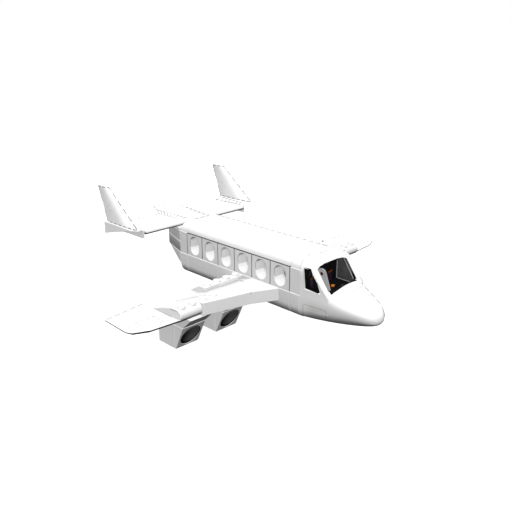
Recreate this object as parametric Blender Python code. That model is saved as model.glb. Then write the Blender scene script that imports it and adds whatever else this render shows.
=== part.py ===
"""A white toy airliner pressed together from studded bricks, at its own size.

It is modelled in the toy's own grid: X runs forward from the rear end of the window band, Y to
port and Z up from the foot of the windows. One empty carries that grid, so that the finished
toy stands on z = 0 with the middle of its length at x = 0.
"""

import math

import bmesh
import bpy
from mathutils import Matrix, Vector

# Driving dimensions, in metres
STUD = 0.008
BRICK = 0.008
PLATE = BRICK / 3
CLEARANCE = 0.00015
STUD_RADIUS = 0.0024
STUD_HEIGHT = 0.0014

# The fuselage
HALF_WIDTH = 2.5 * STUD
SHOULDER = STUD
WALL = STUD
WINDOW_COUNT = 6
BAND_END = 2 * WINDOW_COUNT * STUD
BAND_TOP = 2 * BRICK
HULL_FLOOR = -2 * BRICK
ROOF_TOP = BAND_TOP + 2 * PLATE
HULL_REAR = -STUD
HULL_FRONT = BAND_END + STUD
NOSE_TIP = 0.1485
HULL_SEAMS = (HULL_REAR, 0.0, 4 * STUD, BAND_END, HULL_FRONT)
WINDOW_WIDTH = 0.009
WINDOW_HEIGHT = 0.013

# The nose and its windscreen, whose plane leans back
SILL = 0.0050
SCREEN_FOOT = 0.1212
SCREEN_LEAN = 0.744
BONNET_REAR = 0.1190
COCKPIT_FRONT = 0.1198
COCKPIT_HALF = 0.0140
NOSE_DROOP = -0.0098
NOSE_WAIST = -0.0044
ROOF_SEAM_REAR = 0.0989
SEAM_POWER = 1.7

# The wings
WING_REAR = 5 * STUD
WING_FRONT = 9 * STUD
WING_MAIN_END = 0.084
WING_TIP_END = 0.114
WING_TOP = 0.0
WING_BOTTOM = -BRICK
TIP_TOP = -2 * PLATE
ROOT_BLOCK_END = HALF_WIDTH + 4 * STUD
EDGE_BOX_END = HALF_WIDTH + 6 * STUD

# The pods, three bricks deep under the wings
POD_CENTRES = (HALF_WIDTH + 2 * STUD, HALF_WIDTH + 6 * STUD)
POD_HALF = 0.0088
POD_FLOOR = WING_BOTTOM - 3 * BRICK
POD_SPLIT = WING_BOTTOM - BRICK
INTAKE_RADIUS = 0.0074

# The tail, its stabilisers and the two fins with their saddles
TAIL_REAR = -0.0355
TAIL_END_HALF = 0.0122
PLANE_REAR = -0.0410
PLANE_FRONT = -0.0103
PLANE_BOTTOM = 0.0178
PLANE_TOP = 0.0205
PLANE_END = 0.0463
TAIL_BLOCK_HALF = 0.0090
TAIL_BLOCK_REAR = -0.0539
TAIL_BLOCK_TOP = 0.0226
SADDLE_INNER = 0.0466
SADDLE_OUTER = 0.0560
SADDLE_TOP = 0.0222
SADDLE_WALL = 0.0017
SADDLE_FLOOR = 0.0154
FIN_CENTRE = 0.0535
FIN_HALF = 0.0012

# The grid's own origin, seen from the finished toy's
LENGTH_MIDDLE = (TAIL_BLOCK_REAR + NOSE_TIP) / 2
GRID_ORIGIN = (-LENGTH_MIDDLE, 0.0, -POD_FLOOR)

SIDES = (("starboard", -1), ("port", 1))


def clear_scene():
    for obj in list(bpy.data.objects):
        bpy.data.objects.remove(obj, do_unlink=True)


def new_collection(name):
    collection = bpy.data.collections.new(name)
    bpy.context.scene.collection.children.link(collection)
    return collection


clear_scene()
AIRLINER = new_collection("toy_airliner")
CUTTERS = new_collection("cutters")
GRID = bpy.data.objects.new("grid", None)
GRID.location = GRID_ORIGIN
AIRLINER.objects.link(GRID)


def new_material(name, colour, roughness, metallic=0.0, alpha=1.0):
    material = bpy.data.materials.new(name)
    material.use_nodes = True
    shader = material.node_tree.nodes["Principled BSDF"]
    shader.inputs["Base Color"].default_value = (*colour, 1.0)
    shader.inputs["Roughness"].default_value = roughness
    shader.inputs["Metallic"].default_value = metallic
    shader.inputs["Alpha"].default_value = alpha
    return material


WHITE = new_material("white_plastic", (0.88, 0.88, 0.88), 0.25)
GREY = new_material("grey_plastic", (0.36, 0.37, 0.38), 0.3)
BLACK = new_material("black_plastic", (0.012, 0.012, 0.014), 0.35)
SMOKE = new_material("smoke_glass", (0.03, 0.032, 0.035), 0.08, alpha=0.6)


def add_piece(name, mesh, material):
    """A named piece of the toy, on the grid."""
    piece = bpy.data.objects.new(name, mesh)
    piece.parent = GRID
    mesh.materials.append(material)
    AIRLINER.objects.link(piece)
    return piece


def add_cutter(name, mesh):
    """A helper that a Boolean uses. It is never rendered."""
    cutter = bpy.data.objects.new(name, mesh)
    cutter.parent = GRID
    cutter.hide_render = True
    cutter.display_type = "WIRE"
    CUTTERS.objects.link(cutter)
    return cutter


def combine(piece, other, operation):
    modifier = piece.modifiers.new(f"{operation.lower()}_{other.name}", "BOOLEAN")
    modifier.operation = operation
    modifier.object = other


def box_mesh(name, x, y, z):
    """A box between the given pairs of low and high values."""
    bm = bmesh.new()
    bmesh.ops.create_cube(bm, size=1.0)
    size = Vector((x[1] - x[0], y[1] - y[0], z[1] - z[0]))
    centre = Vector((sum(x), sum(y), sum(z))) / 2
    place = Matrix.Translation(centre) @ Matrix.Diagonal((*size, 1.0))
    bmesh.ops.transform(bm, matrix=place, verts=bm.verts)
    mesh = bpy.data.meshes.new(name)
    bm.to_mesh(mesh)
    bm.free()
    return mesh


def inset(span):
    """The span less the clearance that pressed bricks keep at each end."""
    low, high = sorted(span)
    return low + CLEARANCE, high - CLEARANCE


def brick(name, x, y, z, material):
    return add_piece(name, box_mesh(name, inset(x), inset(y), inset(z)), material)


# How an outline's own axes lie in the grid, by the plane that it is drawn in
PLANES = {
    "XY": Matrix.Identity(4),
    "XZ": Matrix(((1, 0, 0, 0), (0, 0, -1, 0), (0, 1, 0, 0), (0, 0, 0, 1))),
    "YZ": Matrix(((0, 0, 1, 0), (1, 0, 0, 0), (0, 1, 0, 0), (0, 0, 0, 1))),
}


def outline_mesh(name, points, plane, span):
    """A flat outline in the plane, extruded across it between the span's two values."""
    low, high = sorted(span)
    curve = bpy.data.curves.new(name, "CURVE")
    curve.dimensions = "2D"
    curve.fill_mode = "BOTH"
    curve.extrude = (high - low) / 2
    spline = curve.splines.new("POLY")
    spline.points.add(len(points) - 1)
    for point, (u, v) in zip(spline.points, points):
        point.co = (u, v, 0.0, 1.0)
    spline.use_cyclic_u = True
    guide = bpy.data.objects.new(name, curve)
    bpy.context.scene.collection.objects.link(guide)
    graph = bpy.context.evaluated_depsgraph_get()
    mesh = bpy.data.meshes.new_from_object(guide.evaluated_get(graph))
    bpy.data.objects.remove(guide, do_unlink=True)
    middle = (low + high) / 2
    if plane == "XZ":
        middle = -middle
    bm = bmesh.new()
    bm.from_mesh(mesh)
    bmesh.ops.remove_doubles(bm, verts=bm.verts, dist=1e-6)
    bmesh.ops.transform(bm, matrix=PLANES[plane] @ Matrix.Translation((0, 0, middle)), verts=bm.verts)
    bmesh.ops.recalc_face_normals(bm, faces=bm.faces)
    bm.to_mesh(mesh)
    bm.free()
    mesh.name = name
    mesh.materials.clear()
    return mesh


def arc(centre, radius, start, end, steps):
    """Points on an arc, from one angle to the other in degrees."""
    angles = [math.radians(start + (end - start) * step / steps) for step in range(steps + 1)]
    return [(centre[0] + radius * math.cos(a), centre[1] + radius * math.sin(a)) for a in angles]


def mirrored(points):
    """A half outline from the bottom to the top at +Y, closed by its mirror image."""
    return points + [(-u, v) for u, v in reversed(points)]


def cylinder(bm, radius, depth, matrix, segments):
    bmesh.ops.create_cone(
        bm, cap_ends=True, segments=segments, radius1=radius, radius2=radius, depth=depth, matrix=matrix
    )


def add_studs(piece, places, top):
    """Studs standing on the piece's top face at (x, y)."""
    bm = bmesh.new()
    sunk = STUD_HEIGHT / 2
    for x, y in places:
        height = STUD_HEIGHT + sunk
        middle = Matrix.Translation((x, y, top - sunk + height / 2))
        cylinder(bm, STUD_RADIUS, height, middle, 16)
    mesh = bpy.data.meshes.new(f"{piece.name}_studs")
    bm.to_mesh(mesh)
    bm.free()
    combine(piece, add_cutter(f"{piece.name}_studs", mesh), "UNION")


def loft_mesh(name, sections):
    """A closed skin through rings of points that all have the same count."""
    bm = bmesh.new()
    rings = [[bm.verts.new(point) for point in section] for section in sections]
    count = len(rings[0])
    for first, second in zip(rings, rings[1:]):
        for i in range(count):
            j = (i + 1) % count
            bm.faces.new((first[i], first[j], second[j], second[i]))
    bm.faces.new(list(reversed(rings[0])))
    bm.faces.new(rings[-1])
    bmesh.ops.recalc_face_normals(bm, faces=bm.faces)
    mesh = bpy.data.meshes.new(name)
    bm.to_mesh(mesh)
    bm.free()
    return mesh


def hull_profile():
    """The lower hull's channel, with rounded lower edges and a deep floor."""
    outer = arc((HALF_WIDTH - SHOULDER, HULL_FLOOR + SHOULDER), SHOULDER, -90, 0, 8)
    top = -CLEARANCE
    inner_half = HALF_WIDTH - WALL
    inner_floor = HULL_FLOOR + BRICK
    return mirrored([*outer, (HALF_WIDTH, top), (inner_half, top), (inner_half, inner_floor)])


def closed_hull_profile():
    outer = arc((HALF_WIDTH - SHOULDER, HULL_FLOOR + SHOULDER), SHOULDER, -90, 0, 8)
    return mirrored([*outer, (HALF_WIDTH, -CLEARANCE)])


def roof_profile():
    """The roof, flat below, with a round shoulder on each side."""
    centre = (HALF_WIDTH - SHOULDER, ROOF_TOP - SHOULDER)
    foot = math.degrees(math.asin((BAND_TOP + CLEARANCE - centre[1]) / SHOULDER))
    return mirrored(arc(centre, SHOULDER, foot, 90, 8))


def make_hull():
    for index, (rear, front) in enumerate(zip(HULL_SEAMS, HULL_SEAMS[1:])):
        profile = closed_hull_profile() if index == 0 else hull_profile()
        mesh = outline_mesh(f"hull_lower_{index + 1}", profile, "YZ", inset((rear, front)))
        add_piece(mesh.name, mesh, WHITE)
        mesh = outline_mesh(f"roof_{index + 1}", roof_profile(), "YZ", inset((rear, front)))
        roof = add_piece(mesh.name, mesh, WHITE)
    seam = outline_mesh("roof_seam", seam_outline(-CLEARANCE, NOSE_TIP), "XY", (0, ROOF_TOP + BRICK))
    combine(roof, add_cutter("roof_seam", seam), "DIFFERENCE")


def capsule(centre, width, height, steps):
    """An upright slot with round ends."""
    radius = width / 2
    reach = height / 2 - radius
    top = arc((centre[0], centre[1] + reach), radius, 0, 180, steps)
    bottom = arc((centre[0], centre[1] - reach), radius, 180, 360, steps)
    return top + bottom


def make_window_band():
    for side, sign in SIDES:
        wall = (sign * (HALF_WIDTH - WALL), sign * HALF_WIDTH)
        for index in range(WINDOW_COUNT):
            rear = 2 * index * STUD
            name = f"window_panel_{side}_{index + 1}"
            piece = brick(name, (rear, rear + 2 * STUD), wall, (0, BAND_TOP), WHITE)
            slot = capsule((rear + STUD, BAND_TOP / 2), WINDOW_WIDTH, WINDOW_HEIGHT, 6)
            reach = (wall[0] - sign * STUD, wall[1] + sign * STUD)
            combine(piece, add_cutter(f"{name}_opening", outline_mesh(name, slot, "XZ", reach)), "DIFFERENCE")
        brick(f"column_rear_{side}", (HULL_REAR, 0), wall, (0, BAND_TOP), WHITE)
        brick(f"column_front_{side}", (BAND_END, HULL_FRONT), wall, (0, BAND_TOP), WHITE)


def nose_share(x, start):
    """How far along a position lies between the start and the nose's tip, from 0 to 1."""
    return min(1.0, max(0.0, (x - start) / (NOSE_TIP - start)))


def nose_half(x):
    return HALF_WIDTH * (1 - nose_share(x, HULL_FRONT) ** 1.5) ** 0.416


def nose_section(x, count=44):
    """The nose's rounded section, which narrows, droops and softens towards the tip."""
    along, ahead = nose_share(x, HULL_FRONT), nose_share(x, BONNET_REAR)
    top = NOSE_DROOP + (SILL - NOSE_DROOP) * (1 - ahead**1.05) ** 0.488
    bottom = NOSE_DROOP + (HULL_FLOOR - NOSE_DROOP) * (1 - along**1.3) ** 0.392
    waist = NOSE_DROOP + (NOSE_WAIST - NOSE_DROOP) * (1 - along**4.33)
    upper, lower = 3.07 + 5.93 * (1 - ahead) ** 6, 3.98 - 2.18 * along
    points = []
    for step in range(count):
        angle = 2 * math.pi * (step + 0.5) / count
        power, reach = (upper, top - waist) if angle < math.pi else (lower, waist - bottom)
        across = math.copysign(abs(math.cos(angle)) ** (2 / power), math.cos(angle))
        up = math.copysign(abs(math.sin(angle)) ** (2 / power), math.sin(angle))
        points.append((x, nose_half(x) * across, waist + reach * up))
    return points


def canopy_section(x):
    """Upright walls under the roof's own profile, a hair inside the nose's sides."""
    half = nose_half(x) - CLEARANCE / 3
    shoulder = arc((half - SHOULDER, ROOF_TOP - SHOULDER), SHOULDER, 0, 90, 8)
    return [(x, y, z) for y, z in mirrored([(half, -BRICK), *shoulder])]


def screen_x(z):
    """Where the windscreen's plane is at a height."""
    return SCREEN_FOOT + SCREEN_LEAN * (SILL - z)


def seam_outline(shift, edge):
    """The bowed seam between the cabin's roof and the nose's, closed by a far edge."""
    sweep = [1.2 * HALF_WIDTH * step / 12 for step in range(-12, 13)]
    depth = HULL_FRONT - ROOF_SEAM_REAR
    curve = [(ROOF_SEAM_REAR + depth * (abs(y) / HALF_WIDTH) ** SEAM_POWER + shift, y) for y in sweep]
    return curve + [(edge, sweep[-1]), (edge, sweep[0])]


def make_canopy():
    """The cutter that joins the nose to its cockpit walls and roof."""
    front = SCREEN_FOOT + 0.0020
    steps = [ROOF_SEAM_REAR - STUD / 4 + (front - ROOF_SEAM_REAR + STUD / 4) * n / 10 for n in range(11)]
    canopy = add_cutter("canopy", loft_mesh("canopy", [canopy_section(x) for x in steps]))
    high, low, ahead = ROOF_TOP + BRICK, PLATE / 2, NOSE_TIP
    lean = [(screen_x(low), low), (ahead, low), (ahead, high), (screen_x(high), high)]
    mesh = outline_mesh("canopy_lean", lean, "XZ", (-3 * STUD, 3 * STUD))
    combine(canopy, add_cutter("canopy_lean", mesh), "DIFFERENCE")
    step = box_mesh(
        "canopy_step", (0.0, HULL_FRONT + CLEARANCE), (-3 * STUD, 3 * STUD), (-BAND_TOP, BAND_TOP + CLEARANCE)
    )
    combine(canopy, add_cutter("canopy_step", step), "DIFFERENCE")
    seam = outline_mesh("canopy_seam", seam_outline(CLEARANCE, 0.0), "XY", (0, high))
    combine(canopy, add_cutter("canopy_seam", seam), "DIFFERENCE")
    return canopy


def window_outline(grow):
    """The side window in XZ. Its front edge follows the windscreen's lean above a kink."""
    points = [(0.1072, 0.0050), (0.1184, 0.0043), (0.1163, 0.0106), (0.1112, 0.0175), (0.1058, 0.0175)]
    middle = (0.1090, 0.0110)
    return [
        (x + grow * (1 if x > middle[0] else -1), z + grow * (1 if z > middle[1] else -1)) for x, z in points
    ]


def make_nose():
    rear = HULL_FRONT + CLEARANCE
    length = NOSE_TIP - rear - 0.00003
    stations = [rear + length * math.sin(math.pi / 2 * step / 18) for step in range(19)]
    nose = add_piece("nose", loft_mesh("nose", [nose_section(x) for x in stations]), WHITE)
    combine(nose, make_canopy(), "UNION")

    half, ahead = COCKPIT_HALF, SCREEN_FOOT + STUD
    arch = [(half, SILL + 0.0002), (half, 0.0170), (0.0110, 0.0180), (0.0060, 0.0185)]
    arch_mesh = outline_mesh("cockpit_arch", mirrored(arch), "YZ", (HULL_FRONT - STUD / 8, ahead))
    combine(nose, add_cutter("cockpit_arch", arch_mesh), "DIFFERENCE")
    rear = HULL_FRONT - STUD / 8
    well = box_mesh("cockpit_well", (rear, COCKPIT_FRONT), (-half, half), (0.0, SILL + 0.0006))
    combine(nose, add_cutter("cockpit_well", well), "DIFFERENCE")
    for side, sign in SIDES:
        reach = (sign * (half - STUD / 4), sign * (HALF_WIDTH + STUD / 4))
        opening = outline_mesh(f"side_window_{side}", window_outline(0.0), "XZ", reach)
        combine(nose, add_cutter(f"side_window_{side}", opening), "DIFFERENCE")


def make_side_panes():
    """Smoky panes that fill the side windows, each with a flange inside the cockpit."""
    flange = [(0.1048, 0.0024), (0.1155, 0.0022), (0.1189, 0.0040), (0.1115, 0.0162), (0.1045, 0.0140)]
    for side, sign in SIDES:
        name = f"side_pane_{side}"
        near, far = sign * (COCKPIT_HALF - 0.0004), sign * (HALF_WIDTH + STUD / 4)
        pane = add_piece(name, outline_mesh(name, window_outline(-0.0003), "XZ", (near, far)), SMOKE)
        bounds = [(0.1000, 0.0), (0.1250, 0.0), (0.1250, sign * 0.0160), (0.1000, sign * 0.0192)]
        keep = outline_mesh(f"{name}_keep", bounds, "XY", (0.0, BAND_TOP + STUD / 2))
        combine(pane, add_cutter(f"{name}_keep", keep), "INTERSECT")
        span = (sign * (COCKPIT_HALF - 0.0007), sign * (COCKPIT_HALF - CLEARANCE))
        mesh = outline_mesh(f"{name}_flange", flange, "XZ", span)
        combine(pane, add_cutter(f"{name}_flange", mesh), "UNION")


def make_cockpit():
    rear, half = HULL_FRONT + 0.0005, COCKPIT_HALF - 0.0011
    front = COCKPIT_FRONT - STUD / 2
    console = brick("cockpit_console", (rear, front), (-half, half), (0.0, PLATE), BLACK)
    wall = mirrored([(half, CLEARANCE * 2), (half, 0.0166), (0.0090, 0.0176)])
    mesh = outline_mesh("cockpit_bulkhead", wall, "YZ", (rear, rear + 0.0012))
    combine(console, add_cutter("cockpit_bulkhead", mesh), "UNION")

    # The arm leans as the windscreen does, and its round end has a hole
    head, radius = (0.1118, 0.0130), 0.0033
    shape = [(0.1138, PLATE + CLEARANCE), (0.1190, PLATE + CLEARANCE), *arc(head, radius, 25, 200, 10)]
    arm = add_piece("cockpit_arm", outline_mesh("cockpit_arm", shape, "XZ", (-0.0097, -0.0086)), GREY)
    hole = outline_mesh("cockpit_arm_hole", arc(head, 0.0011, 0, 330, 11), "XZ", (-0.0110, -0.0070))
    combine(arm, add_cutter("cockpit_arm_hole", hole), "DIFFERENCE")


def plan_tail(rear, half, corner):
    """Half the tail's plan, from its front at the hull round to its rear."""
    return [(HULL_REAR - CLEARANCE, HALF_WIDTH), (rear + corner, half), (rear, half - corner)]


def make_tail():
    half_plan = plan_tail(TAIL_REAR, TAIL_END_HALF, 0.0045)
    plan = half_plan + [(x, -y) for x, y in reversed(half_plan)]
    add_piece("tail_lower", outline_mesh("tail_lower", plan, "XY", inset((0, BRICK))), WHITE)
    add_piece("tail_upper", outline_mesh("tail_upper", plan, "XY", inset((BRICK, BAND_TOP))), WHITE)
    add_piece("tail_plate", outline_mesh("tail_plate", plan, "XY", inset((BAND_TOP, PLANE_BOTTOM))), WHITE)
    wedge = add_piece("tail_wedge", outline_mesh("tail_wedge", plan, "XY", inset((HULL_FLOOR / 2, 0))), WHITE)
    slope = [(TAIL_REAR - STUD, -0.0005), (-0.0290, -0.0005), (HULL_REAR - 0.0015, HULL_FLOOR / 2)]
    slope += [(HULL_REAR - 0.0015, HULL_FLOOR), (TAIL_REAR - STUD, HULL_FLOOR)]
    mesh = outline_mesh("tail_wedge_slope", slope, "XZ", (-3 * STUD, 3 * STUD))
    combine(wedge, add_cutter("tail_wedge_slope", mesh), "DIFFERENCE")


def tail_block_ring(keel, foot, base, top):
    """Half a ring round the tail block. Keel and foot are x, base is (x, y) and top is (x, y, z)."""
    half, low = TAIL_BLOCK_HALF, PLANE_TOP + CLEARANCE
    ring = [(keel, half, PLANE_BOTTOM + CLEARANCE), (foot, half, low), (*base, low), top]
    return ring + [(x, -y, z) for x, y, z in reversed(ring)]


def make_tail_block():
    """A long wedge on the stabilisers' roots, with leaning flanks and an overhanging rear end."""
    front = HULL_REAR - CLEARANCE
    rings = [
        tail_block_ring(-0.0402, -0.0412, (-0.0425, 0.0134), (TAIL_BLOCK_REAR, 0.0080, TAIL_BLOCK_TOP)),
        tail_block_ring(-0.0392, -0.0402, (-0.0415, 0.0133), (-0.0490, 0.0105, TAIL_BLOCK_TOP)),
        tail_block_ring(front, front, (front, 0.0106), (front, 0.0064, ROOF_TOP)),
    ]
    add_piece("tail_block", loft_mesh("tail_block", rings), WHITE)


def make_stabilisers():
    """Flat tailplanes with a long rounded nose."""
    top, bottom = PLANE_TOP, PLANE_BOTTOM + CLEARANCE
    middle, reach = (top + bottom) / 2, 0.0020
    nose = arc((0.0, 0.0), 1.0, -90, 90, 12)
    section = [(PLANE_REAR, bottom)]
    section += [(PLANE_FRONT - reach * (1 - u), middle + (top - bottom) / 2 * v) for u, v in nose]
    section += [(PLANE_REAR, top)]
    for side, sign in SIDES:
        name = f"stabiliser_{side}"
        span = (sign * (TAIL_BLOCK_HALF + 2 * CLEARANCE), sign * PLANE_END)
        add_piece(name, outline_mesh(name, section, "XZ", span), WHITE)


def saddle_ring(sign, inner_x, outer_x, ridge):
    """A ring round a fin's saddle, whose lip gets thinner towards the front."""
    lip = min(SADDLE_TOP - 0.0006, 0.0136 + 0.252 * (outer_x + 0.0472))
    floor, wall = min(SADDLE_FLOOR, lip - 2 * CLEARANCE), SADDLE_INNER + SADDLE_WALL
    flank, top = SADDLE_INNER + 0.0032, SADDLE_TOP
    ring = [(inner_x, SADDLE_INNER, floor), (inner_x, wall, floor), (inner_x, wall, lip)]
    ring += [(outer_x, SADDLE_OUTER, lip), (outer_x, SADDLE_OUTER, top), (ridge, FIN_CENTRE, top)]
    ring += [(inner_x, flank, top), (inner_x, SADDLE_INNER, PLANE_TOP)]
    return [(x, sign * y, z) for x, y, z in ring]


def blade_ring(sign, rear, front, z_rear, z_front):
    """A ring round a fin: a thin rear edge, flat sides and a sharp leading edge."""
    shape = [(0.0, -0.6), (0.25, -1.0), (0.72, -0.9), (0.93, -0.45), (1.0, 0.0)]
    shape += [(u, -v) for u, v in reversed(shape[:-1])]
    ring = []
    for u, v in shape:
        place = (rear + (front - rear) * u, sign * FIN_CENTRE + FIN_HALF * v)
        ring.append((*place, z_rear + (z_front - z_rear) * u))
    return ring


def make_fins():
    # Where each ring crosses the saddle's inner edge, its outer edge and its ridge
    stations = [(-0.0445, -0.0472, -0.0460), (-0.0380, -0.0400, -0.0390), (-0.0270, -0.0280, -0.0275)]
    stations += [(-0.0155, -0.0160, -0.0157), (-0.0123, -0.0138, -0.0091)]
    foot = SADDLE_TOP + CLEARANCE
    for side, sign in SIDES:
        rings = [saddle_ring(sign, *station) for station in stations]
        add_piece(f"fin_base_{side}", loft_mesh(f"fin_base_{side}", rings), WHITE)
        rings = [
            blade_ring(sign, -0.0452, -0.0093, foot, foot + 0.0003),
            blade_ring(sign, -0.0540, -0.0409, 0.0467, 0.0472),
        ]
        add_piece(f"fin_{side}", loft_mesh(f"fin_{side}", rings), WHITE)


def tip_plan(draw_in):
    """The wing tip's plan, drawn in from all but its inboard end."""
    start = WING_MAIN_END + 2 * CLEARANCE
    plan = [(0.0372, start, 0.6, 0.0), (0.0410, WING_TIP_END - 0.0004, 0.8, -1.0)]
    plan += [(0.0625, WING_TIP_END, -0.6, -1.0), (0.0660, 0.1122, -0.9, -0.7)]
    plan += [(0.0703, 0.1030, -1.0, -0.3), (0.0718, start, -1.0, 0.0)]
    return [(x + draw_in * across, y + draw_in * along) for x, y, across, along in plan]


def make_wing(side, sign):
    top, bottom = WING_TOP, WING_BOTTOM
    radius = (top - bottom) / 2
    section = [(WING_REAR, bottom), *arc((WING_FRONT - radius, bottom + radius), radius, -90, 90, 10)]
    section += [(0.0640, -0.0004), (0.0560, -0.0027), (0.0480, TIP_TOP), (WING_REAR, TIP_TOP)]
    name = f"wing_main_{side}"
    root = sign * (HALF_WIDTH + 2 * CLEARANCE)
    main = add_piece(name, outline_mesh(name, section, "XZ", (root, sign * WING_MAIN_END)), WHITE)
    box_rear = WING_FRONT - STUD
    beside = sorted((0, sign * EDGE_BOX_END))
    room = box_mesh(f"{name}_room", (box_rear, WING_FRONT + STUD), beside, (-STUD * 2, STUD))
    combine(main, add_cutter(f"{name}_room", room), "DIFFERENCE")
    row_x = WING_FRONT - STUD / 2
    add_studs(main, [(row_x, sign * (HALF_WIDTH + STUD * (n + 0.5))) for n in (6, 7)], top)

    name = f"wing_edge_{side}"
    inboard, outboard = sign * (HALF_WIDTH + 2 * CLEARANCE), sign * (EDGE_BOX_END - 2 * CLEARANCE)
    rear = box_rear + 2 * CLEARANCE
    plan = [(rear, inboard), (WING_FRONT + 2 * STUD, inboard)]
    plan += [(WING_FRONT + STUD, sign * (HALF_WIDTH + 2 * STUD)), (WING_FRONT, outboard), (rear, outboard)]
    edge = add_piece(name, outline_mesh(name, plan, "XY", (bottom, top)), WHITE)
    add_studs(edge, [(row_x, sign * (HALF_WIDTH + STUD * (n + 0.5))) for n in (4, 5)], top)

    name = f"wing_root_block_{side}"
    lift = 2 * CLEARANCE
    block = [(WING_REAR + 0.0015, TIP_TOP + lift), (0.0480, TIP_TOP + lift), (0.0560, -0.0027 + lift)]
    block += [(0.0560, top), (0.0505, top)]
    span = (sign * (HALF_WIDTH + 2 * CLEARANCE), sign * ROOT_BLOCK_END)
    root_block = add_piece(name, outline_mesh(name, block, "XZ", span), WHITE)
    places = [(0.0532, sign * (HALF_WIDTH + STUD * (n + 0.5))) for n in range(4)]
    add_studs(root_block, places, top)

    name = f"wing_tip_{side}"
    levels = [(bottom, 0.0032), (TIP_TOP - 0.0004, 0.0), (TIP_TOP, 0.0005)]
    rings = [[(x, sign * y, z) for x, y in tip_plan(draw_in)] for z, draw_in in levels]
    add_piece(name, loft_mesh(name, rings), WHITE)


def make_pod(name, centre):
    near, far = centre - POD_HALF, centre + POD_HALF
    rear, front, foot = WING_REAR, WING_FRONT, WING_REAR + 2 * STUD
    span = (near, far)
    brick(f"{name}_box", (rear, foot), span, (POD_FLOOR, POD_SPLIT), WHITE)

    slope = [(foot + CLEARANCE, POD_FLOOR + CLEARANCE), (foot + STUD, POD_SPLIT - CLEARANCE)]
    slope += [(foot + CLEARANCE, POD_SPLIT - CLEARANCE)]
    slope.insert(1, (foot + 0.0006, POD_FLOOR + CLEARANCE))
    intake = add_piece(f"{name}_intake", outline_mesh(f"{name}_intake", slope, "XZ", inset(span)), WHITE)
    bm = bmesh.new()
    lean = math.atan2(STUD, 2 * BRICK)
    middle = Vector((foot + STUD / 2, centre, (POD_FLOOR + POD_SPLIT) / 2))
    turn = Matrix.Rotation(math.pi / 2 + lean, 4, "Y")
    cylinder(bm, INTAKE_RADIUS, 0.0024, Matrix.Translation(middle) @ turn, 32)
    mesh = bpy.data.meshes.new(f"{name}_mouth")
    bm.to_mesh(mesh)
    bm.free()
    combine(intake, add_cutter(f"{name}_mouth", mesh), "DIFFERENCE")

    top = [(rear, POD_SPLIT + CLEARANCE), (foot + STUD, POD_SPLIT + CLEARANCE)]
    top += [(front, WING_BOTTOM - 2 * CLEARANCE), (rear, WING_BOTTOM - 2 * CLEARANCE)]
    add_piece(f"{name}_top", outline_mesh(f"{name}_top", top, "XZ", inset(span)), WHITE)


make_hull()
make_window_band()
make_nose()
make_side_panes()
make_cockpit()
make_tail()
make_tail_block()
make_stabilisers()
make_fins()
for side_name, side_sign in SIDES:
    make_wing(side_name, side_sign)
    for place, pod_centre in zip(("inner", "outer"), POD_CENTRES):
        make_pod(f"pod_{place}_{side_name}", side_sign * pod_centre)
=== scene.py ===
"""The looks of the white toy airliner: its finishes, small surface details, light and camera.

Every added piece is placed in the toy's own grid, in millimetres: X forward from the rear end
of the window band, Y to port and Z up from the foot of the windows. grid_point() turns a place
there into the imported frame's metres.
"""

import math

import bmesh
import bpy
from mathutils import Matrix, Vector
from mathutils.bvhtree import BVHTree


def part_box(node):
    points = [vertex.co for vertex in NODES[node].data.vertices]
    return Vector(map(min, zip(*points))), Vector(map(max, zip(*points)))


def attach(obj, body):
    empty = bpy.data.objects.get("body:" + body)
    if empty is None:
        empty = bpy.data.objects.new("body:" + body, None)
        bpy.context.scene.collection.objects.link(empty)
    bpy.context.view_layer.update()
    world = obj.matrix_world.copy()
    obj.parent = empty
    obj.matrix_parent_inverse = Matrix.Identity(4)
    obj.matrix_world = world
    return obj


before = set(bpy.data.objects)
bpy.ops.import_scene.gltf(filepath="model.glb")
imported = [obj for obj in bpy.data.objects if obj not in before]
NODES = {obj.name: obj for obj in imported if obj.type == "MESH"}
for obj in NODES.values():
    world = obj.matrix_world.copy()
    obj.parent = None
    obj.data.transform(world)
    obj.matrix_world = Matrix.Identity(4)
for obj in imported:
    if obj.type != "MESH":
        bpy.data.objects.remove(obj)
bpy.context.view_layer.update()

MM = 0.001
BODY = "root"

# The grid's origin, from the window panel that stands on it
CLEARANCE = 0.15 * MM
PANEL_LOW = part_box("window_panel_starboard_1")[0]
GRID_ORIGIN = Vector((PANEL_LOW.x - CLEARANCE, 0.0, PANEL_LOW.z - CLEARANCE))


def grid_point(x, y, z):
    """A place in the toy's grid, in millimetres, as a point of the frame."""
    return GRID_ORIGIN + Vector((x, y, z)) * MM


def to_grid(point):
    """A point of the frame as a place in the toy's grid, in millimetres."""
    return (point - GRID_ORIGIN) / MM


# Camera: the photograph's angle and perspective
IMAGE_WIDTH = 512
FOCAL_PIXELS = 600.56
CAMERA_AZIMUTH = 44.65
CAMERA_ELEVATION = 19.57
CAMERA_DISTANCE = 403.84 * MM
CAMERA_TARGET = grid_point(48.24, 0.0, 5.82)


def camera_axes():
    """The camera's right, up and backward directions."""
    azimuth, elevation = math.radians(CAMERA_AZIMUTH), math.radians(CAMERA_ELEVATION)
    right = Vector((math.cos(azimuth), math.sin(azimuth), 0.0))
    back = Vector((
        math.sin(azimuth) * math.cos(elevation),
        -math.cos(azimuth) * math.cos(elevation),
        math.sin(elevation),
    ))
    return right, back.cross(right), back


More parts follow.
